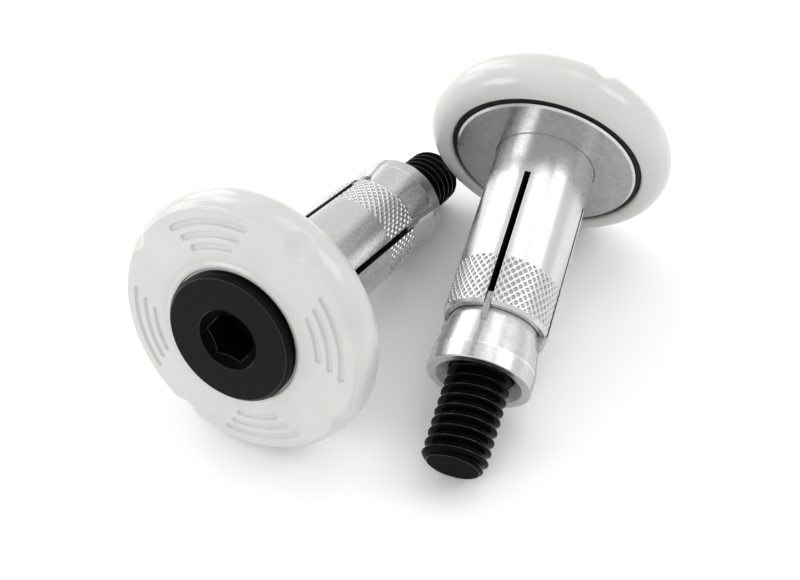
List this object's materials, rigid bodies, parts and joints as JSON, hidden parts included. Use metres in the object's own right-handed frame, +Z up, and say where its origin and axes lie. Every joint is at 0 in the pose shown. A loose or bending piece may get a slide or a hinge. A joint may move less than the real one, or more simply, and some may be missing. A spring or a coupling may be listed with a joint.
{
  "type": "bar end plugs",
  "caption": "Expanding handlebar end plugs: a white nylon disc on a black hex bolt, and a slotted aluminium sleeve whose fingers are spread by a keyed wedge nut.",
  "frame": {"origin": "bottom centre of the box round both plugs as they lie on a table", "axes": "+Z up from the table; +X across both plugs, the longest extent; +Y away from the viewer"},
  "size_m": [0.0792, 0.066, 0.0378],
  "materials": {
    "white_nylon": "satin moulded nylon",
    "black_washer": "matt",
    "black_steel": "satin black, oxide coated steel",
    "sleeve_aluminium": "fine turned",
    "nut_aluminium": "fine turned"
  },
  "bodies": {
    "sleeves": {"left_sleeve_flange": "sleeve_aluminium", "left_sleeve_root": "sleeve_aluminium", "right_sleeve_flange": "sleeve_aluminium", "right_sleeve_root": "sleeve_aluminium"},
    "left_disc": {"left_end_disc": "white_nylon", "left_backing_washer": "black_washer"},
    "left_bolt": {"left_bolt": "black_steel"},
    "left_nut": {"left_wedge_nut": "nut_aluminium"},
    "left_finger_1": {"left_sleeve_finger_1": "sleeve_aluminium"},
    "left_finger_2": {"left_sleeve_finger_2": "sleeve_aluminium"},
    "left_finger_3": {"left_sleeve_finger_3": "sleeve_aluminium"},
    "left_finger_4": {"left_sleeve_finger_4": "sleeve_aluminium"},
    "right_disc": {"right_end_disc": "white_nylon", "right_backing_washer": "black_washer"},
    "right_bolt": {"right_bolt": "black_steel"},
    "right_nut": {"right_wedge_nut": "nut_aluminium"},
    "right_finger_1": {"right_sleeve_finger_1": "sleeve_aluminium"},
    "right_finger_2": {"right_sleeve_finger_2": "sleeve_aluminium"},
    "right_finger_3": {"right_sleeve_finger_3": "sleeve_aluminium"},
    "right_finger_4": {"right_sleeve_finger_4": "sleeve_aluminium"}
  },
  "joints": [
    {"name": "left_disc_turn", "type": "hinge", "parent": "sleeves", "child": "left_disc", "pos_m": [-0.02147, -0.01761, 0.01885], "axis": [0.4112, 0.8738, -0.2597], "continuous": true},
    {"name": "left_bolt_turn", "type": "hinge", "parent": "sleeves", "child": "left_bolt", "pos_m": [-0.02007, -0.01463, 0.01796], "axis": [0.4112, 0.8738, -0.2597], "range_deg": [0, 1080]},
    {"name": "left_nut_draw", "type": "slide", "parent": "sleeves", "child": "left_nut", "axis": [-0.4112, -0.8738, 0.2597], "range_m": [0, 0.00477]},
    {"name": "left_finger_1_flex", "type": "hinge", "parent": "sleeves", "child": "left_finger_1", "pos_m": [-0.01323, -0.00812, 0.02302], "axis": [0.7691, -0.4855, -0.4157], "range_deg": [0, 2.67]},
    {"name": "left_finger_2_flex", "type": "hinge", "parent": "sleeves", "child": "left_finger_2", "pos_m": [-0.011, -0.0122, 0.01279], "axis": [-0.4893, -0.0288, -0.8716], "range_deg": [0, 2.67]},
    {"name": "left_finger_3_flex", "type": "hinge", "parent": "sleeves", "child": "left_finger_3", "pos_m": [-0.021, -0.00857, 0.00917], "axis": [-0.7691, 0.4855, 0.4157], "range_deg": [0, 2.67]},
    {"name": "left_finger_4_flex", "type": "hinge", "parent": "sleeves", "child": "left_finger_4", "pos_m": [-0.02322, -0.00449, 0.0194], "axis": [0.4893, 0.0288, 0.8716], "range_deg": [0, 2.67]},
    {"name": "right_disc_turn", "type": "hinge", "parent": "sleeves", "child": "right_disc", "pos_m": [0.02073, 0.02022, 0.01885], "axis": [-0.2646, -0.9287, -0.2597], "continuous": true},
    {"name": "right_bolt_turn", "type": "hinge", "parent": "sleeves", "child": "right_bolt", "pos_m": [0.01983, 0.01707, 0.01796], "axis": [-0.2646, -0.9287, -0.2597], "range_deg": [0, 1080]},
    {"name": "right_nut_draw", "type": "slide", "parent": "sleeves", "child": "right_nut", "axis": [0.2646, 0.9287, 0.2597], "range_m": [0, 0.00477]},
    {"name": "right_finger_1_flex", "type": "hinge", "parent": "sleeves", "child": "right_finger_1", "pos_m": [0.02251, 0.00745, 0.02188], "axis": [-0.7725, 0.0429, 0.6336], "range_deg": [0, 2.67]},
    {"name": "right_finger_2_flex", "type": "hinge", "parent": "sleeves", "child": "right_finger_2", "pos_m": [0.01179, 0.01072, 0.02113], "axis": [-0.5773, 0.3682, -0.7288], "range_deg": [0, 2.67]},
    {"name": "right_finger_3_flex", "type": "hinge", "parent": "sleeves", "child": "right_finger_3", "pos_m": [0.01334, 0.0133, 0.01031], "axis": [0.7725, -0.0429, -0.6336], "range_deg": [0, 2.67]},
    {"name": "right_finger_4_flex", "type": "hinge", "parent": "sleeves", "child": "right_finger_4", "pos_m": [0.02406, 0.01004, 0.01106], "axis": [0.5773, -0.3682, 0.7288], "range_deg": [0, 2.67]}
  ],
  "couplings": [
    {"joint": "left_nut_draw", "follows": "left_bolt_turn", "m_per_rad": 0.00025266},
    {"joint": "left_finger_1_flex", "follows": "left_bolt_turn", "ratio": 0.0024537},
    {"joint": "left_finger_2_flex", "follows": "left_bolt_turn", "ratio": 0.0024537},
    {"joint": "left_finger_3_flex", "follows": "left_bolt_turn", "ratio": 0.0024537},
    {"joint": "left_finger_4_flex", "follows": "left_bolt_turn", "ratio": 0.0024537},
    {"joint": "right_nut_draw", "follows": "right_bolt_turn", "m_per_rad": 0.00025266},
    {"joint": "right_finger_1_flex", "follows": "right_bolt_turn", "ratio": 0.0024537},
    {"joint": "right_finger_2_flex", "follows": "right_bolt_turn", "ratio": 0.0024537},
    {"joint": "right_finger_3_flex", "follows": "right_bolt_turn", "ratio": 0.0024537},
    {"joint": "right_finger_4_flex", "follows": "right_bolt_turn", "ratio": 0.0024537}
  ]
}
